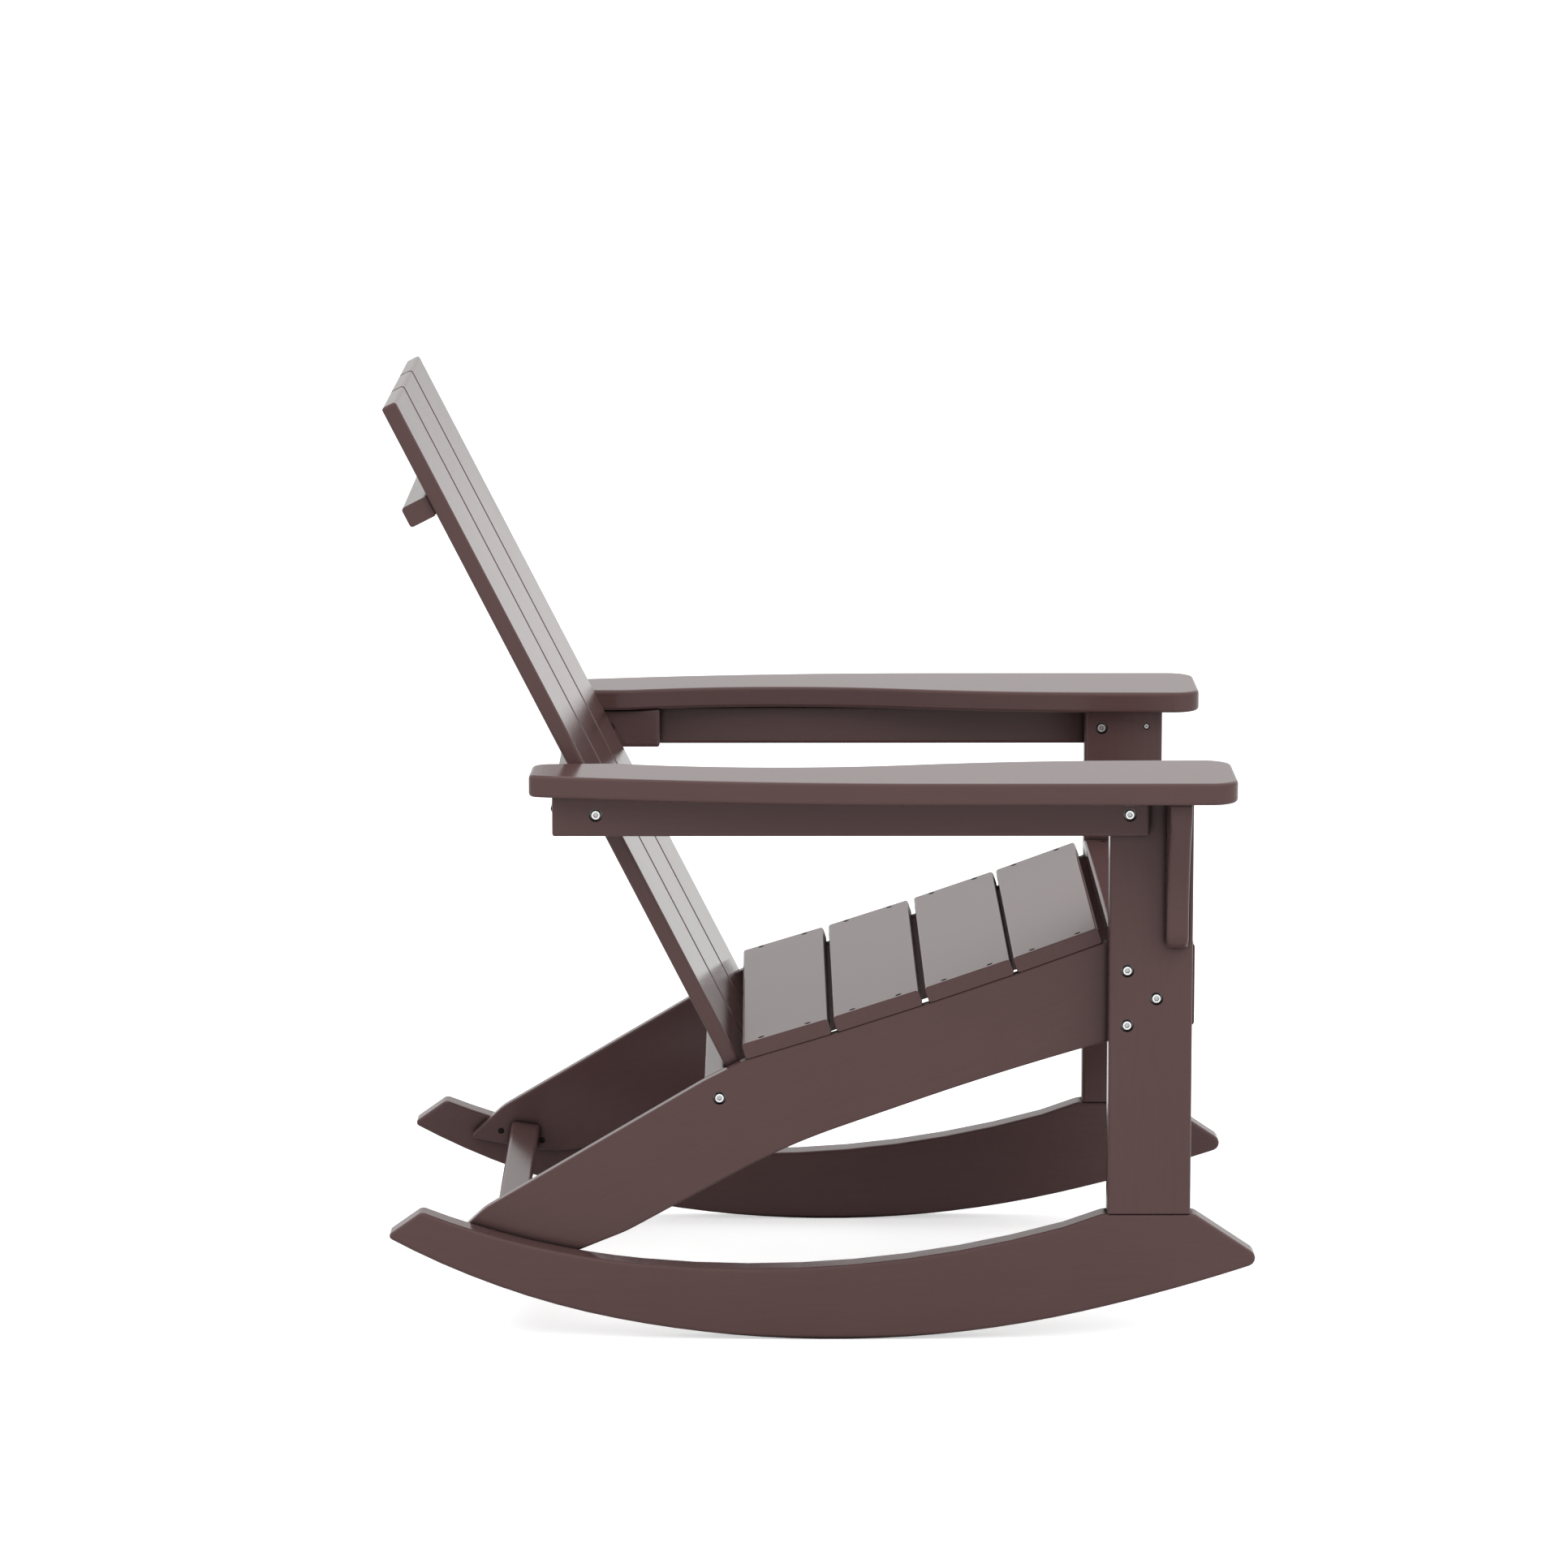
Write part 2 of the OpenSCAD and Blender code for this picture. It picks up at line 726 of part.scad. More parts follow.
function most(pts) = [for (i = [0:len(pts) - 2]) pts[i]];
function rest(pts) = [for (i = [1:len(pts) - 1]) pts[i]];
tail_curve = bowl(floor_rear, floor_rear_r, tail_deg, -floor_rear_deg, curve_steps);
nose_curve = bowl(floor_front, floor_front_r, floor_front_deg, nose_deg, curve_steps);
rocker_outline = rounded(concat(
    [concat(tail_curve[0], tail_r)],
    sharp(rest(tail_curve)),
    sharp(rest(bowl(floor_mid, floor_r, -floor_rear_deg, floor_front_deg, 2 * curve_steps))),
    sharp(rest(most(nose_curve))),
    [[nose_y, nose_z, nose_r]],
    [[nose_top_y, foot_z, foot_margin], [leg_y - foot_margin, foot_z, foot_margin]],
    sharp(bowl(dip_mid, dip_r, ramp_deg, -dip_turn_deg, curve_steps)),
    sharp(rest(most(bowl(dip_rear, dip_rear_r, -dip_turn_deg, kink_deg, curve_steps)))),
    [concat(dip_rear + dip_rear_r * [sin(kink_deg), -cos(kink_deg)], foot_margin)]
));

module rocker() {
    color(board_colour)
        difference() {
            side()
                translate([0, 0, leg_x])
                    plate(rocker_outline, side_t, edge_r);
            at_foot_bolts()
                foot_bolt_hole();
            at_rocker_screws()
                screw_hole();
        }
}

module rocker_right() {
    rocker();
}

module rocker_left() {
    left()
        rocker();
}

module front_leg() {
    color(board_colour)
        difference() {
            side()
                translate([leg_y, foot_z, leg_x])
                    board([leg_w, leg_l, side_t], [end_r, edge_r, end_r]);
            at_leg_bolts()
                leg_bolt_hole();
            at_rail_bolts()
                rail_bolt_hole();
            at_foot_bolts()
                foot_bolt_hole();
            at_bracket_screws()
                screw_hole(long_screw_l);
        }
}

module front_leg_right() {
    front_leg();
}

module front_leg_left() {
    left()
        front_leg();
}

stringer_outline = rounded(concat(
    [
        for (i = [0:len(stringer_low_shares) - 1])
            let (s = stringer_low_shares[i], run = stringer_l * stringer_low_run_shares[i])
            [stringer_y + stringer_l * s.x, stringer_z + stringer_h * s.y, max(run, edge_r)]
    ],
    [[apron_at.x, apron_at.y, edge_r]],
    sharp([for (k = [4:-1:1]) slat_at(k)]),
    [concat(slat_at(0), 0)],
    [concat(on_back(-back_t - lower_beam_t, back_v), edge_r)],
    [[
        stringer_y + stringer_l * stringer_kink_share.x,
        stringer_z + stringer_h * stringer_kink_share.y,
        stringer_l * stringer_kink_run_share
    ]]
));

module seat_stringer() {
    color(board_colour)
        difference() {
            side()
                translate([0, 0, string_x])
                    plate(stringer_outline, stringer_t, stringer_edge_r);
            at_leg_bolts()
                leg_insert_hole();
            at_beam_bolt()
                beam_bolt_hole();
            for (k = [0:4])
                at_seat_screws(k, seat_screw_x)
                    screw_hole(seat_screw_l);
            at_rocker_screws()
                screw_hole();
            at_stretcher_screws()
                screw_hole();
            at_apron_screws()
                screw_hole();
        }
}

module seat_stringer_right() {
    seat_stringer();
}

module seat_stringer_left() {
    left()
        seat_stringer();
}

module seat_slat(k) {
    w = k < 4 ? slat_w : front_slat_w;
    color(board_colour)
        difference() {
            side_at(slat_at(k), slat_deg(k))
                translate([0, 0, -slat_x])
                    board([w, slat_t, 2 * slat_x], [end_r, end_r, edge_r]);
            for (x = [-seat_screw_x, seat_screw_x])
                at_seat_screws(k, x)
                    screw_hole(seat_screw_l);
        }
}

module seat_slat_1() {
    seat_slat(0);
}

module seat_slat_2() {
    seat_slat(1);
}

module seat_slat_3() {
    seat_slat(2);
}

module seat_slat_4() {
    seat_slat(3);
}

module seat_slat_front() {
    seat_slat(4);
}

module apron() {
    color(board_colour)
        difference() {
            side()
                translate([apron_at.x, apron_z - apron_h, -leg_x])
                    board([apron_t, apron_h, 2 * leg_x], [end_r, end_r, edge_r]);
            both()
                at_apron_screws()
                    screw_hole();
        }
}

module rear_stretcher() {
    color(board_colour)
        difference() {
            side_at(stretcher_at, stretcher_deg)
                translate([0, -stretcher_h, -string_x])
                    board([stretcher_w, stretcher_h, 2 * string_x], [end_r, end_r, edge_r]);
            both()
                at_stretcher_screws()
                    screw_hole();
        }
}

// A cross member behind the boards: depth, height, top edge and half length
module cross_member(t, h, v, x) {
    back()
        translate([-back_t - t, v - h, -x])
            board([t, h, 2 * x], [end_r, end_r, edge_r]);
}

module lower_beam() {
    color(board_colour)
        difference() {
            cross_member(lower_beam_t, lower_beam_h, back_v, string_x);
            both()
                at_beam_bolt()
                    beam_bolt_hole();
            for (x = board_xs)
                at_back_screws(cross_vs[0], x)
                    screw_hole();
        }
}

module arm_beam() {
    color(board_colour)
        difference() {
            cross_member(arm_beam_t, arm_beam_h, beam_v + arm_beam_h / 2, leg_x);
            both()
                at_beam_end_screws()
                    screw_hole(long_screw_l);
            for (x = board_xs)
                at_back_screws(cross_vs[1], x)
                    screw_hole();
        }
}

module top_batten() {
    color(board_colour)
        difference() {
            cross_member(batten_t, batten_h, back_top - batten_drop, back_x - batten_inset);
            for (x = board_xs)
                at_back_screws(cross_vs[2], x)
                    screw_hole();
        }
}

module back_board(x) {
    color(board_colour)
        difference() {
            back()
                translate([-back_t, back_low, x - board_w / 2])
                    board([back_t, back_l, board_w], [edge_r, edge_r, edge_r]);
            for (v = cross_vs)
                at_back_screws(v, x)
                    screw_hole();
        }
}

module back_board_right() {
    back_board(board_xs[0]);
}

module back_board_middle() {
    back_board(board_xs[1]);
}

module back_board_left() {
    back_board(board_xs[2]);
}

module arm_rail() {
    color(board_colour)
        difference() {
            side()
                translate([rail_y, arm_z - rail_h, out_x])
                    board([rail_l, rail_h, rail_t], [edge_r, edge_r, edge_r]);
            at_rail_bolts()
                rail_bolt_hole();
            at_arm_screws()
                screw_hole();
        }
}

module arm_rail_right() {
    arm_rail();
}

module arm_rail_left() {
    left()
        arm_rail();
}

module arm_block() {
    color(board_colour)
        difference() {
            side()
                translate([rail_y, arm_z - rail_h + block_lift, leg_x])
                    board([block_l, rail_h - block_lift, side_t], [edge_r, edge_r, edge_r]);
            at_rail_bolts()
                rail_bolt_hole();
            at_arm_screws()
                screw_hole();
            at_beam_end_screws()
                screw_hole(long_screw_l);
        }
}

module arm_block_right() {
    arm_block();
}

module arm_block_left() {
    left()
        arm_block();
}

// Arm plan: corners as shares of its length, from the rear, and of its width, from inside.
// A corner is rounded by a share of the length or by a run of its own.
arm_shares = [
    [0, 0.6525], [0.003, 0.1475], [0.12, 0.131], [0.349, 0.405], [0.688, 0.03], [1, 0], [1, 1], [0.301, 1]
];
arm_run_shares = [0, 0, 0.02, 0.2, 0.143, 0, 0, 0.285];
arm_runs = [arm_tail_outer, arm_tail_corner, 0, 0, 0, arm_corner, arm_corner, 0];
arm_outline = rounded([
    for (i = [0:len(arm_shares) - 1])
        let (s = arm_shares[i], run = arm_runs[i] + arm_l * arm_run_shares[i])
        [arm_y + arm_l * s.x, arm_x + arm_w * s.y, run]
]);

module arm() {
    color(board_colour)
        difference() {
            translate([0, 0, arm_z + arm_t])
                rotate([180, 0, -90])
                    plate(arm_outline, arm_t, edge_r);
            at_arm_screws()
                screw_hole();
        }
}

module arm_right() {
    arm();
}

module arm_left() {
    left()
        arm();
}

// Bracket outline: outward from the leg and up to the arm. Its curve lies between two shares
// of its height, and two more shares round it at the foot and at the waist.
bracket_curve_shares = [0.55, 0.12];
bracket_run_shares = [0.7, 0.3];
bracket_outline = rounded([
    [0, -bracket_h, bracket_corner],
    [bracket_foot, -bracket_h, bracket_foot * bracket_run_shares[0]],
    [bracket_foot, -bracket_h * bracket_curve_shares[0], bracket_h * bracket_run_shares[1]],
    [bracket_w, -bracket_h * bracket_curve_shares[1], 2 * bracket_corner],
    [bracket_w, 0, bracket_corner],
    [0, 0, bracket_corner]
]);

module arm_bracket() {
    color(board_colour)
        difference() {
            translate([-out_x, -bracket_y, arm_z])
                rotate([90, 0, 0])
                    mirror([1, 0, 0])
                        plate(bracket_outline, bracket_t, edge_r);
            at_bracket_screws()
                screw_hole(long_screw_l);
        }
}

module arm_bracket_right() {
    arm_bracket();
}

module arm_bracket_left() {
    left()
        arm_bracket();
}

module frame_bolts() {
    color(steel_colour)
        both() {
            at_leg_bolts()
                leg_bolt();
            at_rail_bolts()
                rail_bolt();
        }
}

module sleeve_nuts() {
    color(steel_colour)
        both() {
            at_leg_bolts()
                leg_insert();
            at_rail_bolts()
                rail_nut();
        }
}

module beam_bolts() {
    color(steel_colour)
        both()
            at_beam_bolt()
                bolt(bolt_d, bolt_head_d, beam_bolt_l);
}

module foot_bolts() {
    color(steel_colour)
        both()
            at_foot_bolts()
                bolt(foot_bolt_d, foot_head_d, foot_bolt_l);
}

module seat_screws() {
    color(screw_colour)
        for (k = [0:4], x = [-seat_screw_x, seat_screw_x])
            at_seat_screws(k, x)
                screw(seat_screw_l);
}

module back_screws() {
    color(screw_colour)
        for (v = cross_vs, x = board_xs)
            at_back_screws(v, x)
                screw(screw_l);
}

module arm_screws() {
    color(screw_colour)
        both()
            at_arm_screws()
                screw(screw_l);
}

module rocker_screws() {
    color(screw_colour)
        both()
            at_rocker_screws()
                screw(screw_l);
}

module stretcher_screws() {
    color(screw_colour)
        both()
            at_stretcher_screws()
                screw(screw_l);
}

module apron_screws() {
    color(screw_colour)
        both()
            at_apron_screws()
                screw(screw_l);
}

module beam_end_screws() {
    color(screw_colour)
        both()
            at_beam_end_screws()
                screw(long_screw_l);
}

module bracket_screws() {
    color(steel_colour)
        both()
            at_bracket_screws()
                screw(long_screw_l);
}

rocker_right();
rocker_left();
front_leg_right();
front_leg_left();
seat_stringer_right();
seat_stringer_left();
seat_slat_1();
seat_slat_2();
seat_slat_3();
seat_slat_4();
seat_slat_front();
apron();
rear_stretcher();
lower_beam();
arm_beam();
top_batten();
back_board_right();
back_board_middle();
back_board_left();
arm_rail_right();
arm_rail_left();
arm_block_right();
arm_block_left();
arm_right();
arm_left();
arm_bracket_right();
arm_bracket_left();
frame_bolts();
sleeve_nuts();
beam_bolts();
foot_bolts();
seat_screws();
back_screws();
arm_screws();
rocker_screws();
stretcher_screws();
apron_screws();
beam_end_screws();
bracket_screws();
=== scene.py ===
import math

import bmesh
import bpy
from mathutils import Matrix, Vector


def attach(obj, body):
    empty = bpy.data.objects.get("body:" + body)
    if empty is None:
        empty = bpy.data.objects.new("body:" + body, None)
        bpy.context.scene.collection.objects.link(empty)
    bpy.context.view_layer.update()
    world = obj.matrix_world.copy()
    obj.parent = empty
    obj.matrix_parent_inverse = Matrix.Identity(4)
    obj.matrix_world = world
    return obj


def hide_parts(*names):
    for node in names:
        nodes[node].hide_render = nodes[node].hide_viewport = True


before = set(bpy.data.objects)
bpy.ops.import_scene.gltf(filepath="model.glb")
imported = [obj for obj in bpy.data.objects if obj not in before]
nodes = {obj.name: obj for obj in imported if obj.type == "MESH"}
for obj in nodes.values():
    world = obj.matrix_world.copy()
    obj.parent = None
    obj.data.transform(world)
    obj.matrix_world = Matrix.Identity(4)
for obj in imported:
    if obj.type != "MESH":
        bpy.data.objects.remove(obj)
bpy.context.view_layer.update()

# Camera, in metres, degrees and millimetres: a long lens well off to the sitter's right
CAMERA_AT = (-6.900, 0.060, 1.6507)
CAMERA_DOWN = 9.28
CAMERA_TURN = 0.193
LENS, SENSOR = 154.0, 36

# Recycled-plastic board: linear colours, their share in the tint, and the range of roughness
BOARD = (0.106, 0.0590, 0.0570)
BOARD_PALE = (0.114, 0.0640, 0.0620)
BOARD_SPAN = (0.35, 0.65)
BOARD_ROUGH = (0.13, 0.19)
BOARD_IOR = 1.29

# Noises of the board: streaks drawn out along the grain, clouds and pores, with their relief
STREAK_STRETCH = 14
STREAKS = {"Scale": 260, "Detail": 5, "Roughness": 0.6}
STREAK_SHARE = 0.45
STREAK_RELIEF = {"Strength": 0.10, "Distance": 0.0004}
CLOUDS = {"Scale": 9, "Detail": 3}
PORES = {"Scale": 1400, "Detail": 2}
PORE_RELIEF = {"Strength": 0.06, "Distance": 0.0002}

# Steel: linear colour and range of roughness, a brushed skin and a few darker specks
BRIGHT_STEEL = ((0.86, 0.86, 0.87), (0.14, 0.26))
DARK_STEEL = ((0.05, 0.045, 0.045), (0.35, 0.5))
BRUSH_STRETCH = 6
BRUSH = {"Scale": 1800, "Detail": 3}
BRUSH_RELIEF = {"Strength": 0.15, "Distance": 0.0001}
SPECKS = {"Scale": 420, "Detail": 2}
SPECK_TONE = 0.85
SPECK_SPAN = (0.3, 0.5)

# Painted shade in gaps and holes, which darkens the colour there: how far it reaches, the open
# shares where it ends and starts, and the tone left at its deepest. Boards are dull there, and
# their edges look softened.
BOARD_PAINTED_SHADE = (0.009, 0.42, 0.82, 0.03)
STEEL_PAINTED_SHADE = (0.004, 0.30, 0.88, 0.05)
CREVICE_ROUGH = 1.00
EDGE_SOFT = 0.0008
CREVICE_RAYS, EDGE_RAYS = 5, 6

# How far each material's pattern moves with its seed
SEED_SHIFT = (0.37, 0.11, 0.23)

# Which way the grain of each board runs, as a direction in the row frame
BACK_TILT = math.radians(27.1)
SEAT_TILT = math.radians(25.0)
GRAIN = {
    "rocker": (0, 1, 0),
    "front_leg": (0, 0, 1),
    "seat_stringer": (0, -math.cos(SEAT_TILT), math.sin(SEAT_TILT)),
    "seat_slat": (1, 0, 0),
    "apron": (1, 0, 0),
    "rear_stretcher": (1, 0, 0),
    "lower_beam": (1, 0, 0),
    "arm_beam": (1, 0, 0),
    "top_batten": (1, 0, 0),
    "back_board": (0, math.sin(BACK_TILT), math.cos(BACK_TILT)),
    "arm_rail": (0, 1, 0),
    "arm_block": (0, 1, 0),
    "arm_bracket": (0, 0, 1),
    "arm": (0, 1, 0),
}
STEEL_NODES = ("frame_bolts", "sleeve_nuts", "beam_bolts", "foot_bolts")

# Pale floor: its own tones for diffuse rays and for the other rays, and its glow to the camera
FLOOR_SIZE = 60.0
FLOOR_MATT, FLOOR_WHITE, FLOOR_GLOW = 0.55, 0.93, 0.55

# Light: a white studio, brighter overhead, and one large soft lamp (metres and watts)
SKY = (0.80, 1.30)
KEY_AT, KEY_AIM = (-3.2, -1.6, 3.6), (0, 0, 0.4)
KEY_SIZE, KEY_WATTS = 2.4, 30


class Tree:
    """A material's node tree, with short ways to add and join nodes."""

    def __init__(self, name):
        self.material = bpy.data.materials.new(name)
        self.material.use_nodes = True
        self.nodes = self.material.node_tree.nodes
        self.nodes.clear()
        self.links = self.material.node_tree.links

    def add(self, kind, inputs=None, **settings):
        node = self.nodes.new("ShaderNode" + kind)
        for key, value in settings.items():
            setattr(node, key, value)
        for key, value in (inputs or {}).items():
            if isinstance(value, bpy.types.NodeSocket):
                self.links.new(value, node.inputs[key])
            else:
                node.inputs[key].default_value = value
        return node

    def noise(self, place, settings):
        return self.add("TexNoise", {"Vector": place, **settings}).outputs["Fac"]

    def ramp(self, fac, span, colours):
        node = self.add("ValToRGB", {"Fac": fac})
        for stop, at, colour in zip(node.color_ramp.elements, span, colours):
            stop.position = at
            stop.color = (*colour, 1)
        return node.outputs["Color"]

    def spread(self, value, low, high):
        node = self.add("MapRange", {"Value": value, "To Min": low, "To Max": high})
        return node.outputs["Result"]

    def blend(self, share, start, end):
        inputs = {"Factor": share, "A": start, "B": end}
        return self.add("Mix", inputs, data_type="FLOAT").outputs["Result"]

    def shade(self, colour, tone):
        inputs = {0: colour, "Scale": tone}
        return self.add("VectorMath", inputs, operation="SCALE").outputs["Vector"]

    def relief(self, height, settings, **normal):
        inputs = {"Height": height, **settings, **normal}
        return self.add("Bump", inputs).outputs["Normal"]

    def matt(self, tone):
        return self.add("BsdfDiffuse", {"Color": (tone, tone, tone, 1)}).outputs["BSDF"]

    def either(self, share, start, end):
        return self.add("MixShader", {"Fac": share, 1: start, 2: end}).outputs["Shader"]

    def finish(self, shader):
        self.add("OutputMaterial", {"Surface": shader})
        return self.material


def along(tree, direction, seed, stretch):
    """Object coordinates turned so that x runs along the grain, and drawn out along it."""
    turn = Vector(direction).rotation_difference(Vector((1, 0, 0))).to_euler()
    place = tree.add("TexCoord").outputs["Object"]
    shift = tuple(seed * s for s in SEED_SHIFT)
    turned = tree.add("Mapping", {"Vector": place, "Rotation": turn, "Location": shift})
    inputs = {"Vector": turned.outputs["Vector"], "Scale": (1 / stretch, 1, 1)}
    return tree.add("Mapping", inputs).outputs["Vector"]


def painted_crevice_shade(tree, distance, low, high, dark):
    """Painted shade: 1 in the open, falling to dark where the surface lies deep between others."""
    around = tree.add("AmbientOcclusion", {"Distance": distance}, samples=CREVICE_RAYS)
    open_share = around.outputs["AO"]
    inputs = {"Value": open_share, "From Min": low, "From Max": high, "To Min": dark, "To Max": 1.0}
    return tree.add("MapRange", inputs).outputs["Result"]


def board_material(name, direction, seed):
    """Through-coloured plastic board: satin skin, drawn-out streaks, fine pores, soft edges and
    painted shade in gaps and holes.
    """
    tree = Tree("board_" + name)
    plain = along(tree, direction, seed, 1)
    streaks = tree.noise(along(tree, direction, seed, STREAK_STRETCH), STREAKS)
    tint = tree.blend(STREAK_SHARE, tree.noise(plain, CLOUDS), streaks)
    # Painted shade: the colour darkens where the board lies deep in gaps, holes and corners between
    # parts
    tone = painted_crevice_shade(tree, *BOARD_PAINTED_SHADE)
    soft = tree.add("Math", {0: tone, 1: EDGE_SOFT}, operation="MULTIPLY").outputs["Value"]
    round_edge = tree.add("Bevel", {"Radius": soft}, samples=EDGE_RAYS).outputs["Normal"]
    grain = tree.relief(streaks, STREAK_RELIEF, Normal=round_edge)
    inputs = {
        "Base Color": tree.shade(tree.ramp(tint, BOARD_SPAN, (BOARD, BOARD_PALE)), tone),
        "Roughness": tree.blend(tone, CREVICE_ROUGH, tree.spread(tint, *BOARD_ROUGH)),
        "IOR": BOARD_IOR,
        "Normal": tree.relief(tree.noise(plain, PORES), PORE_RELIEF, Normal=grain),
    }
    return tree.finish(tree.add("BsdfPrincipled", inputs).outputs["BSDF"])


def steel_material(name, colour, rough, seed):
    """Steel with a finely brushed skin, a few darker specks and painted shade in its recesses."""
    tree = Tree(name)
    place = along(tree, (1, 0, 0), seed, BRUSH_STRETCH)
    brush = tree.noise(place, BRUSH)
    speck = tuple(c * SPECK_TONE for c in colour)
    tint = tree.ramp(tree.noise(place, SPECKS), SPECK_SPAN, (speck, colour))
    # Painted shade: the steel's colour darkens in its socket and in the hollow round its head
    inputs = {
        "Base Color": tree.shade(tint, painted_crevice_shade(tree, *STEEL_PAINTED_SHADE)),
        "Metallic": 1.0,
        "Roughness": tree.spread(brush, *rough),
        "Normal": tree.relief(brush, BRUSH_RELIEF),
    }
    return tree.finish(tree.add("BsdfPrincipled", inputs).outputs["BSDF"])


def paint(node, material):
    mesh = nodes[node].data
    mesh.materials.clear()
    mesh.materials.append(material)


def grain_of(node):
    fits = [key for key in GRAIN if node.startswith(key)]
    return GRAIN[max(fits, key=len)]


# A screw with a cross recess, in metres. Its outline is [radius, height over the head's seat].
HEAD_H = 0.0025
HEAD_OUTLINE = [(0.0030, 0.0), (0.0030, 0.0014), (0.0028, 0.0021), (0.0023, HEAD_H)]
SHANK_R, ROOT_R = 0.0020, 0.0015
TIP_L, THREAD_PITCH, COLLAR_L = 0.004, 0.0020, 0.004
CROSS_HALF_W, CROSS_L = 0.00045, 0.0017
CROSS_FLOOR, CROSS_MID = HEAD_H - 0.0012, HEAD_H - 0.0016
# Points round a screw, how far each screw is turned after the one before, how near the head's
# end a point counts as its top, and the digits of a metre to which points are the same
AROUND = 24
GOLDEN = math.radians(137.5)
TOP_BAND = HEAD_H / 5
DIGITS = 5


def solids_of(node):
    """The separate solids of a node, each as a list of its points."""
    mesh = nodes[node].data
    spots = [tuple(round(c, DIGITS) for c in v.co) for v in mesh.vertices]
    lead = {spot: spot for spot in spots}

    def root_of(spot):
        while lead[spot] != spot:
            lead[spot] = lead[lead[spot]]
            spot = lead[spot]
        return spot

    for edge in mesh.edges:
        a, b = (root_of(spots[i]) for i in edge.vertices)
        lead[a] = b
    found = {}
    for spot in lead:
        found.setdefault(root_of(spot), []).append(Vector(spot))
    return sorted(found.values(), key=lambda points: tuple(min(points, key=tuple)))


def screw_place(points):
    """A screw's tip and the middle of its head's top, from its points."""
    middle = sum(points, Vector()) / len(points)
    tip = max(points, key=lambda p: (p - middle).length)
    aim = (middle - tip).normalized()
    reach = max((p - tip).dot(aim) for p in points)
    top = [p for p in points if (p - tip).dot(aim) > reach - TOP_BAND]
    return tip, sum(top, Vector()) / len(top)


def cross_radius(angle):
    """The recess's outline: a plus sign, as a distance from its middle."""
    x, y = sorted((abs(math.cos(angle)), abs(math.sin(angle))), reverse=True)
    return CROSS_HALF_W / y if y * CROSS_L > CROSS_HALF_W * x else CROSS_L / x


def screw_rings(length):
    """Rings of points from the tip up the thread, over the head and down into its recess."""
    angles = [2 * math.pi * i / AROUND for i in range(AROUND)]
    thread = [(ROOT_R, TIP_L - length)]
    z = TIP_L - length + THREAD_PITCH / 2
    while z + THREAD_PITCH / 2 < -COLLAR_L:
        thread += [(SHANK_R, z), (ROOT_R, z + THREAD_PITCH / 2)]
        z += THREAD_PITCH
    outline = thread + [(SHANK_R, -COLLAR_L), (SHANK_R, 0.0)] + HEAD_OUTLINE
    round_rings = [([r] * AROUND, z) for r, z in outline]
    cross_rings = [([cross_radius(a) for a in angles], z) for z in (HEAD_H, CROSS_FLOOR)]
    return [
        [(r * math.cos(a), r * math.sin(a), z) for r, a in zip(radii, angles)]
        for radii, z in round_rings + cross_rings
    ]


def screw_piece(node, material):
    """All the screws of a node again, each with a thread and a cross recess."""
    shape = bmesh.new()
    for count, points in enumerate(solids_of(node)):
        tip, top = screw_place(points)
        length = (top - tip).length - HEAD_H
        aim = (top - tip).to_track_quat("Z", "Y").to_matrix().to_4x4()
        turn = Matrix.Rotation(count * GOLDEN, 4, "Z")
        place = Matrix.Translation(tip) @ aim @ turn @ Matrix.Translation((0, 0, length))
        rings = [[shape.verts.new(place @ Vector(p)) for p in r] for r in screw_rings(length)]
        point, pit = (shape.verts.new(place @ Vector((0, 0, z))) for z in (-length, CROSS_MID))
        for i in range(AROUND):
            j = (i + 1) % AROUND
            for low, high in zip(rings, rings[1:]):
                shape.faces.new((low[i], low[j], high[j], high[i]))
            shape.faces.new((point, rings[0][j], rings[0][i]))
            shape.faces.new((pit, rings[-1][i], rings[-1][j]))
    mesh = bpy.data.meshes.new(node + "_cross")
    shape.to_mesh(mesh)
    shape.free()
    mesh.materials.append(material)
    piece = bpy.data.objects.new(node + "_cross", mesh)
    bpy.context.scene.collection.objects.link(piece)
    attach(piece, "root")
    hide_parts(node)


bright = steel_material("bright_steel", *BRIGHT_STEEL, 1)
dark = steel_material("dark_steel", *DARK_STEEL, 2)
for seed, name in enumerate(sorted(nodes)):
    if name == "bracket_screws":
        screw_piece(name, bright)
    elif name.endswith("screws"):
        screw_piece(name, dark)
    elif name in STEEL_NODES:
        paint(name, bright)
    else:
        paint(name, board_material(name, grain_of(name), seed))

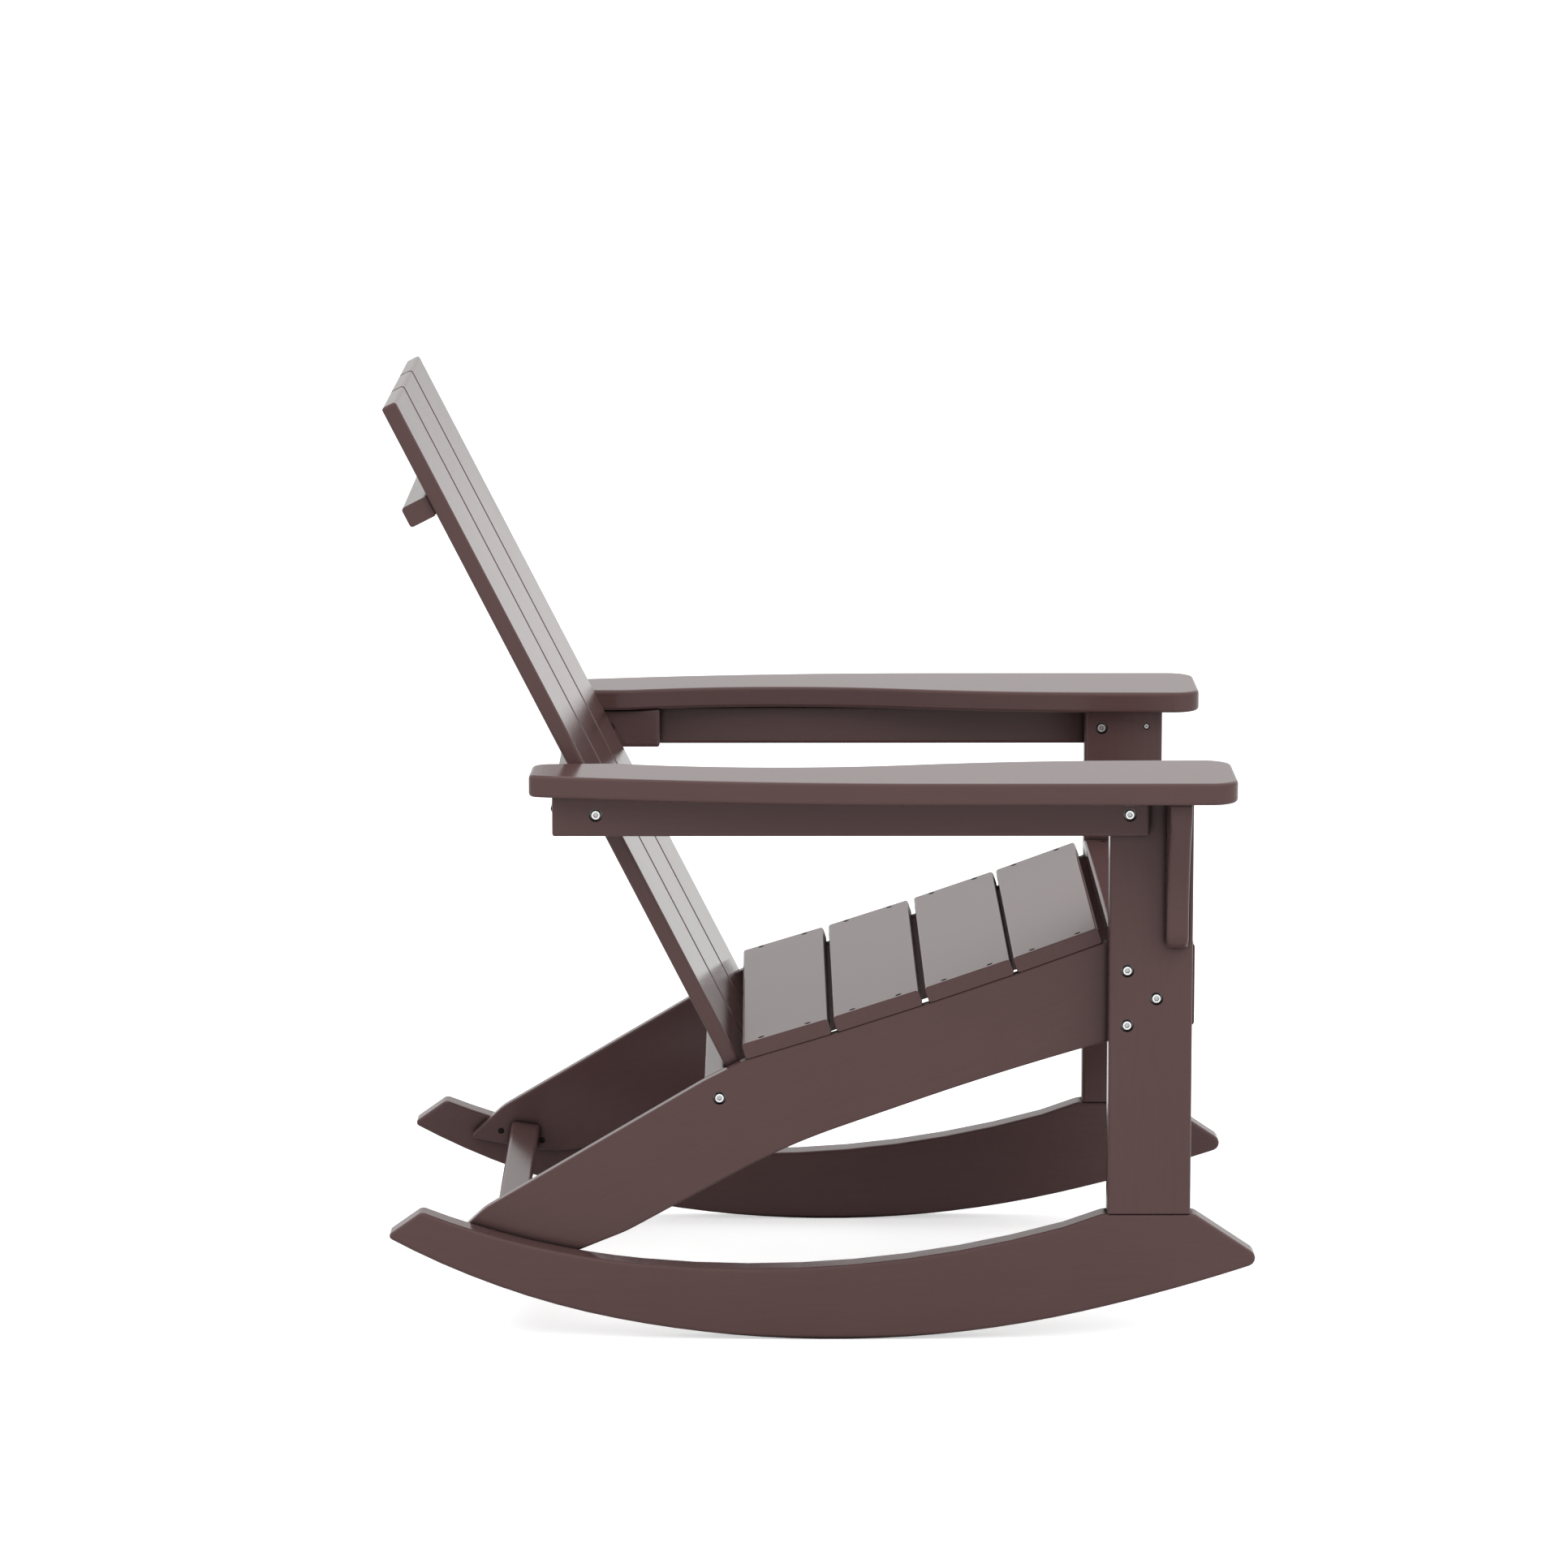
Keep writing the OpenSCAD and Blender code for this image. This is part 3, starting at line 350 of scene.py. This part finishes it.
# Floor: pale and plain, with the chair's soft shadow. It glows for the camera only.
bpy.ops.mesh.primitive_plane_add(size=FLOOR_SIZE, location=(0, 0, 0))
floor = bpy.context.object
floor.name = "floor"
tree = Tree("floor_pale")
path = tree.add("LightPath").outputs
rays = {0: path["Is Camera Ray"], 1: path["Is Transmission Ray"]}
seen = tree.add("Math", rays, operation="MAXIMUM").outputs["Value"]
white = tree.matt(FLOOR_WHITE)
glow = tree.add("Emission", {"Color": (1, 1, 1, 1), "Strength": FLOOR_GLOW}).outputs["Emission"]
lit = tree.add("AddShader", {0: white, 1: glow}).outputs["Shader"]
mirrored = tree.either(path["Is Glossy Ray"], tree.matt(FLOOR_MATT), white)
floor.data.materials.append(tree.finish(tree.either(seen, mirrored, lit)))

# World
world = bpy.data.worlds.new("studio")
bpy.context.scene.world = world
world.use_nodes = True
sky = world.node_tree
background = sky.nodes["Background"]
background.inputs["Color"].default_value = (1, 1, 1, 1)
aim = sky.nodes.new("ShaderNodeTexCoord")
parts = sky.nodes.new("ShaderNodeSeparateXYZ")
height = sky.nodes.new("ShaderNodeMapRange")
height.inputs["To Min"].default_value, height.inputs["To Max"].default_value = SKY
sky.links.new(aim.outputs["Generated"], parts.inputs["Vector"])
sky.links.new(parts.outputs["Z"], height.inputs["Value"])
sky.links.new(height.outputs["Result"], background.inputs["Strength"])

# Lamp
light = bpy.data.lights.new("key_soft", "AREA")
light.shape = "RECTANGLE"
light.size = light.size_y = KEY_SIZE
light.energy = KEY_WATTS
lamp = bpy.data.objects.new("key_soft", light)
bpy.context.scene.collection.objects.link(lamp)
lamp.location = KEY_AT
lamp.rotation_euler = (Vector(KEY_AIM) - Vector(KEY_AT)).to_track_quat("-Z", "Y").to_euler()

# Camera
camera = bpy.data.objects.new("camera", bpy.data.cameras.new("camera"))
bpy.context.scene.collection.objects.link(camera)
camera.data.lens = LENS
camera.data.sensor_width = SENSOR
camera.location = CAMERA_AT
down, turn = math.radians(CAMERA_DOWN), math.radians(CAMERA_TURN)
level = math.cos(down)
sight = Vector((level * math.cos(turn), -level * math.sin(turn), -math.sin(down)))
camera.rotation_euler = sight.to_track_quat("-Z", "Y").to_euler()
bpy.context.scene.camera = camera
bpy.context.scene.view_settings.view_transform = "Standard"
